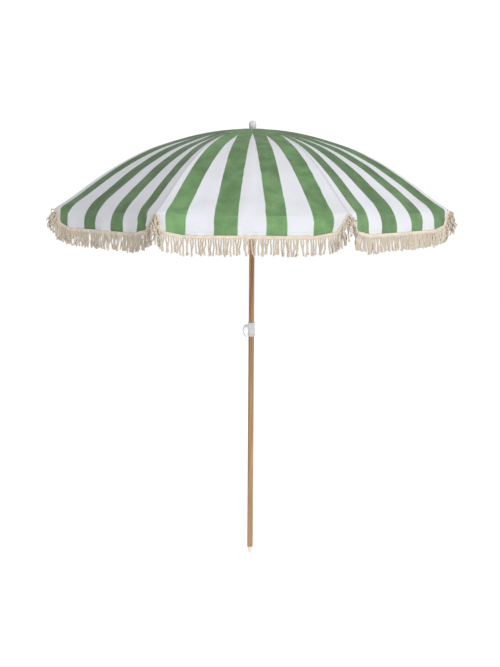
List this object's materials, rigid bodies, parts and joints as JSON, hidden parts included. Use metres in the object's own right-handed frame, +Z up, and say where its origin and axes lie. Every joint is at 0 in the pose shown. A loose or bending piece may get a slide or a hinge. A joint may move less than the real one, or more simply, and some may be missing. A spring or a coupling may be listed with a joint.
{
  "type": "beach umbrella",
  "caption": "Open beach umbrella with a striped fabric canopy, fringed valance, ball finial, folding ribs on a sliding runner, telescopic pole with a cam-lever clamp and a ground spike.",
  "frame": {"origin": "centre of the bottom edge of the lower tube, where the ground spike starts", "axes": "+Z up the pole; -Y towards the viewer of the picture; -X on the side of the clamp's lever"},
  "size_m": [1.6114, 1.6114, 2.0356],
  "materials": {
    "white_plastic": "smooth white moulded plastic",
    "pole_coating": "steel tube with a satin wood-look coating",
    "steel": "bright zinc-plated steel",
    "rib_steel": "white powder-coated steel",
    "canopy_cloth": "woven cloth, green and white stripes",
    "fringe_cotton": "twisted unbleached cotton"
  },
  "bodies": {
    "lower_pole": {"lower_tube": "pole_coating", "ground_spike": "white_plastic", "clamp_collar": "white_plastic", "lever_pin": "steel"},
    "lever": {"clamp_lever": "white_plastic"},
    "upper_pole": {"upper_tube": "pole_coating", "hub": "white_plastic", "hub_wire": "steel", "finial": "white_plastic", "crown": "canopy_cloth"},
    "catch": {"catch": "steel"},
    "runner": {"runner": "white_plastic"},
    "rib_1": {"rib_1": "rib_steel", "rivet_1": "steel", "canopy_1": "canopy_cloth"},
    "stretcher_1": {"stretcher_1": "rib_steel"},
    "valance_1": {"valance_1": "canopy_cloth", "fringe_1": "fringe_cotton"},
    "rib_2": {"rib_2": "rib_steel", "rivet_2": "steel", "canopy_2": "canopy_cloth"},
    "stretcher_2": {"stretcher_2": "rib_steel"},
    "valance_2": {"valance_2": "canopy_cloth", "fringe_2": "fringe_cotton"},
    "rib_3": {"rib_3": "rib_steel", "rivet_3": "steel", "canopy_3": "canopy_cloth"},
    "stretcher_3": {"stretcher_3": "rib_steel"},
    "valance_3": {"valance_3": "canopy_cloth", "fringe_3": "fringe_cotton"},
    "rib_4": {"rib_4": "rib_steel", "rivet_4": "steel", "canopy_4": "canopy_cloth"},
    "stretcher_4": {"stretcher_4": "rib_steel"},
    "valance_4": {"valance_4": "canopy_cloth", "fringe_4": "fringe_cotton"},
    "rib_5": {"rib_5": "rib_steel", "rivet_5": "steel", "canopy_5": "canopy_cloth"},
    "stretcher_5": {"stretcher_5": "rib_steel"},
    "valance_5": {"valance_5": "canopy_cloth", "fringe_5": "fringe_cotton"},
    "rib_6": {"rib_6": "rib_steel", "rivet_6": "steel", "canopy_6": "canopy_cloth"},
    "stretcher_6": {"stretcher_6": "rib_steel"},
    "valance_6": {"valance_6": "canopy_cloth", "fringe_6": "fringe_cotton"},
    "rib_7": {"rib_7": "rib_steel", "rivet_7": "steel", "canopy_7": "canopy_cloth"},
    "stretcher_7": {"stretcher_7": "rib_steel"},
    "valance_7": {"valance_7": "canopy_cloth", "fringe_7": "fringe_cotton"},
    "rib_8": {"rib_8": "rib_steel", "rivet_8": "steel", "canopy_8": "canopy_cloth"},
    "stretcher_8": {"stretcher_8": "rib_steel"},
    "valance_8": {"valance_8": "canopy_cloth", "fringe_8": "fringe_cotton"}
  },
  "joints": [
    {"name": "height", "type": "slide", "parent": "lower_pole", "child": "upper_pole", "axis": [0, 0, 1], "range_m": [-0.05, 0.15]},
    {"name": "clamp_lever", "type": "hinge", "parent": "lower_pole", "child": "lever", "pos_m": [-0.026, 0, 1.06], "axis": [0, 1, 0], "range_deg": [0, 125]},
    {"name": "fold", "type": "slide", "parent": "upper_pole", "child": "runner", "axis": [0, 0, 1], "range_m": [-0.55568, 0], "deforming": ["canopy_1", "valance_1", "fringe_1", "canopy_2", "valance_2", "fringe_2", "canopy_3", "valance_3", "fringe_3", "canopy_4", "valance_4", "fringe_4", "canopy_5", "valance_5", "fringe_5", "canopy_6", "valance_6", "fringe_6", "canopy_7", "valance_7", "fringe_7", "canopy_8", "valance_8", "fringe_8"]},
    {"name": "catch", "type": "slide", "parent": "upper_pole", "child": "catch", "axis": [0, -1, 0], "range_m": [0, 0.0032], "stiffness_N_per_m": 400, "springref_m": 0.0045},
    {"name": "rib_1", "type": "hinge", "parent": "upper_pole", "child": "rib_1", "pos_m": [0.01072, -0.02587, 1.9525], "axis": [0.9239, 0.3827, 0], "range_deg": [-0.5, 66.5]},
    {"name": "stretcher_1", "type": "hinge", "parent": "rib_1", "child": "stretcher_1", "pos_m": [0.15217, -0.36737, 1.88041], "axis": [0.9239, 0.3827, 0], "range_deg": [-127, 0.5]},
    {"name": "valance_1", "type": "hinge", "parent": "rib_1", "child": "valance_1", "pos_m": [0.33293, -0.80378, 1.613], "axis": [0.9239, 0.3827, 0], "range_deg": [-66.5, 0.5]},
    {"name": "rib_2", "type": "hinge", "parent": "upper_pole", "child": "rib_2", "pos_m": [0.02587, -0.01072, 1.9525], "axis": [0.3827, 0.9239, 0], "range_deg": [-0.5, 66.5]},
    {"name": "stretcher_2", "type": "hinge", "parent": "rib_2", "child": "stretcher_2", "pos_m": [0.36737, -0.15217, 1.88041], "axis": [0.3827, 0.9239, 0], "range_deg": [-127, 0.5]},
    {"name": "valance_2", "type": "hinge", "parent": "rib_2", "child": "valance_2", "pos_m": [0.80378, -0.33293, 1.613], "axis": [0.3827, 0.9239, 0], "range_deg": [-66.5, 0.5]},
    {"name": "rib_3", "type": "hinge", "parent": "upper_pole", "child": "rib_3", "pos_m": [0.02587, 0.01072, 1.9525], "axis": [-0.3827, 0.9239, 0], "range_deg": [-0.5, 66.5]},
    {"name": "stretcher_3", "type": "hinge", "parent": "rib_3", "child": "stretcher_3", "pos_m": [0.36737, 0.15217, 1.88041], "axis": [-0.3827, 0.9239, 0], "range_deg": [-127, 0.5]},
    {"name": "valance_3", "type": "hinge", "parent": "rib_3", "child": "valance_3", "pos_m": [0.80378, 0.33293, 1.613], "axis": [-0.3827, 0.9239, 0], "range_deg": [-66.5, 0.5]},
    {"name": "rib_4", "type": "hinge", "parent": "upper_pole", "child": "rib_4", "pos_m": [0.01072, 0.02587, 1.9525], "axis": [-0.9239, 0.3827, 0], "range_deg": [-0.5, 66.5]},
    {"name": "stretcher_4", "type": "hinge", "parent": "rib_4", "child": "stretcher_4", "pos_m": [0.15217, 0.36737, 1.88041], "axis": [-0.9239, 0.3827, 0], "range_deg": [-127, 0.5]},
    {"name": "valance_4", "type": "hinge", "parent": "rib_4", "child": "valance_4", "pos_m": [0.33293, 0.80378, 1.613], "axis": [-0.9239, 0.3827, 0], "range_deg": [-66.5, 0.5]},
    {"name": "rib_5", "type": "hinge", "parent": "upper_pole", "child": "rib_5", "pos_m": [-0.01072, 0.02587, 1.9525], "axis": [-0.9239, -0.3827, 0], "range_deg": [-0.5, 66.5]},
    {"name": "stretcher_5", "type": "hinge", "parent": "rib_5", "child": "stretcher_5", "pos_m": [-0.15217, 0.36737, 1.88041], "axis": [-0.9239, -0.3827, 0], "range_deg": [-127, 0.5]},
    {"name": "valance_5", "type": "hinge", "parent": "rib_5", "child": "valance_5", "pos_m": [-0.33293, 0.80378, 1.613], "axis": [-0.9239, -0.3827, 0], "range_deg": [-66.5, 0.5]},
    {"name": "rib_6", "type": "hinge", "parent": "upper_pole", "child": "rib_6", "pos_m": [-0.02587, 0.01072, 1.9525], "axis": [-0.3827, -0.9239, 0], "range_deg": [-0.5, 66.5]},
    {"name": "stretcher_6", "type": "hinge", "parent": "rib_6", "child": "stretcher_6", "pos_m": [-0.36737, 0.15217, 1.88041], "axis": [-0.3827, -0.9239, 0], "range_deg": [-127, 0.5]},
    {"name": "valance_6", "type": "hinge", "parent": "rib_6", "child": "valance_6", "pos_m": [-0.80378, 0.33293, 1.613], "axis": [-0.3827, -0.9239, 0], "range_deg": [-66.5, 0.5]},
    {"name": "rib_7", "type": "hinge", "parent": "upper_pole", "child": "rib_7", "pos_m": [-0.02587, -0.01072, 1.9525], "axis": [0.3827, -0.9239, 0], "range_deg": [-0.5, 66.5]},
    {"name": "stretcher_7", "type": "hinge", "parent": "rib_7", "child": "stretcher_7", "pos_m": [-0.36737, -0.15217, 1.88041], "axis": [0.3827, -0.9239, 0], "range_deg": [-127, 0.5]},
    {"name": "valance_7", "type": "hinge", "parent": "rib_7", "child": "valance_7", "pos_m": [-0.80378, -0.33293, 1.613], "axis": [0.3827, -0.9239, 0], "range_deg": [-66.5, 0.5]},
    {"name": "rib_8", "type": "hinge", "parent": "upper_pole", "child": "rib_8", "pos_m": [-0.01072, -0.02587, 1.9525], "axis": [0.9239, -0.3827, 0], "range_deg": [-0.5, 66.5]},
    {"name": "stretcher_8", "type": "hinge", "parent": "rib_8", "child": "stretcher_8", "pos_m": [-0.15217, -0.36737, 1.88041], "axis": [0.9239, -0.3827, 0], "range_deg": [-127, 0.5]},
    {"name": "valance_8", "type": "hinge", "parent": "rib_8", "child": "valance_8", "pos_m": [-0.33293, -0.80378, 1.613], "axis": [0.9239, -0.3827, 0], "range_deg": [-66.5, 0.5]}
  ],
  "couplings": [
    {"joint": "rib_1", "follows": "fold", "rad_per_m": -2.073},
    {"joint": "stretcher_1", "follows": "fold", "rad_per_m": 3.949},
    {"joint": "valance_1", "follows": "fold", "rad_per_m": 2.073},
    {"joint": "rib_2", "follows": "fold", "rad_per_m": -2.073},
    {"joint": "stretcher_2", "follows": "fold", "rad_per_m": 3.949},
    {"joint": "valance_2", "follows": "fold", "rad_per_m": 2.073},
    {"joint": "rib_3", "follows": "fold", "rad_per_m": -2.073},
    {"joint": "stretcher_3", "follows": "fold", "rad_per_m": 3.949},
    {"joint": "valance_3", "follows": "fold", "rad_per_m": 2.073},
    {"joint": "rib_4", "follows": "fold", "rad_per_m": -2.073},
    {"joint": "stretcher_4", "follows": "fold", "rad_per_m": 3.949},
    {"joint": "valance_4", "follows": "fold", "rad_per_m": 2.073},
    {"joint": "rib_5", "follows": "fold", "rad_per_m": -2.073},
    {"joint": "stretcher_5", "follows": "fold", "rad_per_m": 3.949},
    {"joint": "valance_5", "follows": "fold", "rad_per_m": 2.073},
    {"joint": "rib_6", "follows": "fold", "rad_per_m": -2.073},
    {"joint": "stretcher_6", "follows": "fold", "rad_per_m": 3.949},
    {"joint": "valance_6", "follows": "fold", "rad_per_m": 2.073},
    {"joint": "rib_7", "follows": "fold", "rad_per_m": -2.073},
    {"joint": "stretcher_7", "follows": "fold", "rad_per_m": 3.949},
    {"joint": "valance_7", "follows": "fold", "rad_per_m": 2.073},
    {"joint": "rib_8", "follows": "fold", "rad_per_m": -2.073},
    {"joint": "stretcher_8", "follows": "fold", "rad_per_m": 3.949},
    {"joint": "valance_8", "follows": "fold", "rad_per_m": 2.073}
  ]
}
